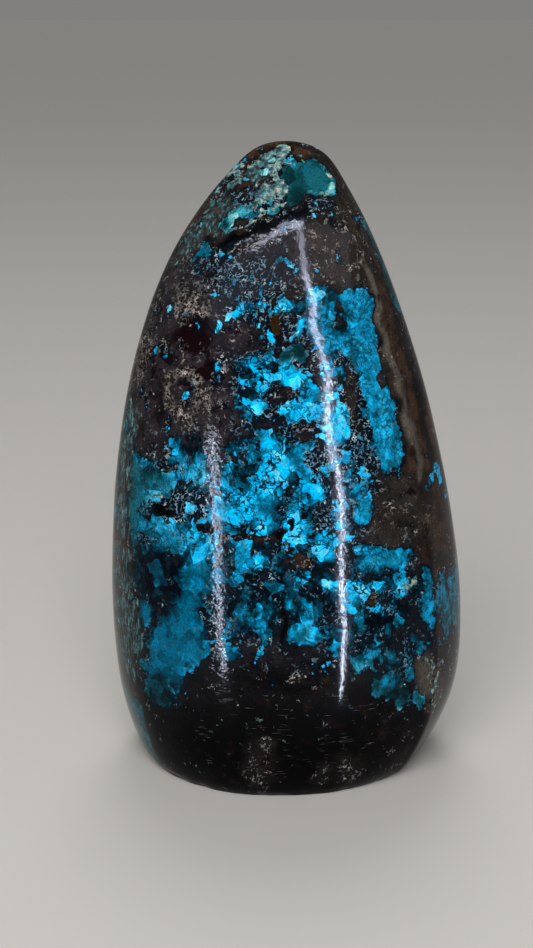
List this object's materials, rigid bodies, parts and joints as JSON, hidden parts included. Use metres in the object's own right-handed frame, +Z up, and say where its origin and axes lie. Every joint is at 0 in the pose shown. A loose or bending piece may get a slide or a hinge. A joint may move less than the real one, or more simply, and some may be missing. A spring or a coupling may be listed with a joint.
{
  "type": "polished mineral freeform",
  "caption": "Tall polished freeform of chrysocolla in dark copper ore, ground to a rounded point and cut flat underneath so that it stands on a shelf.",
  "frame": {"origin": "on the surface the stone stands on, under the middle of the stone's box", "axes": "+Z up from the sawn base to the tip, +X to the right as seen from the broad front, -Y out of the broad front"},
  "size_m": [0.058, 0.0458, 0.1],
  "materials": {
    "polished_chrysocolla": "polished to a gloss; turquoise and cyan chrysocolla in near-black and brown copper ore"
  },
  "bodies": {
    "root": {"chrysocolla_freeform": "polished_chrysocolla"}
  },
  "joints": []
}
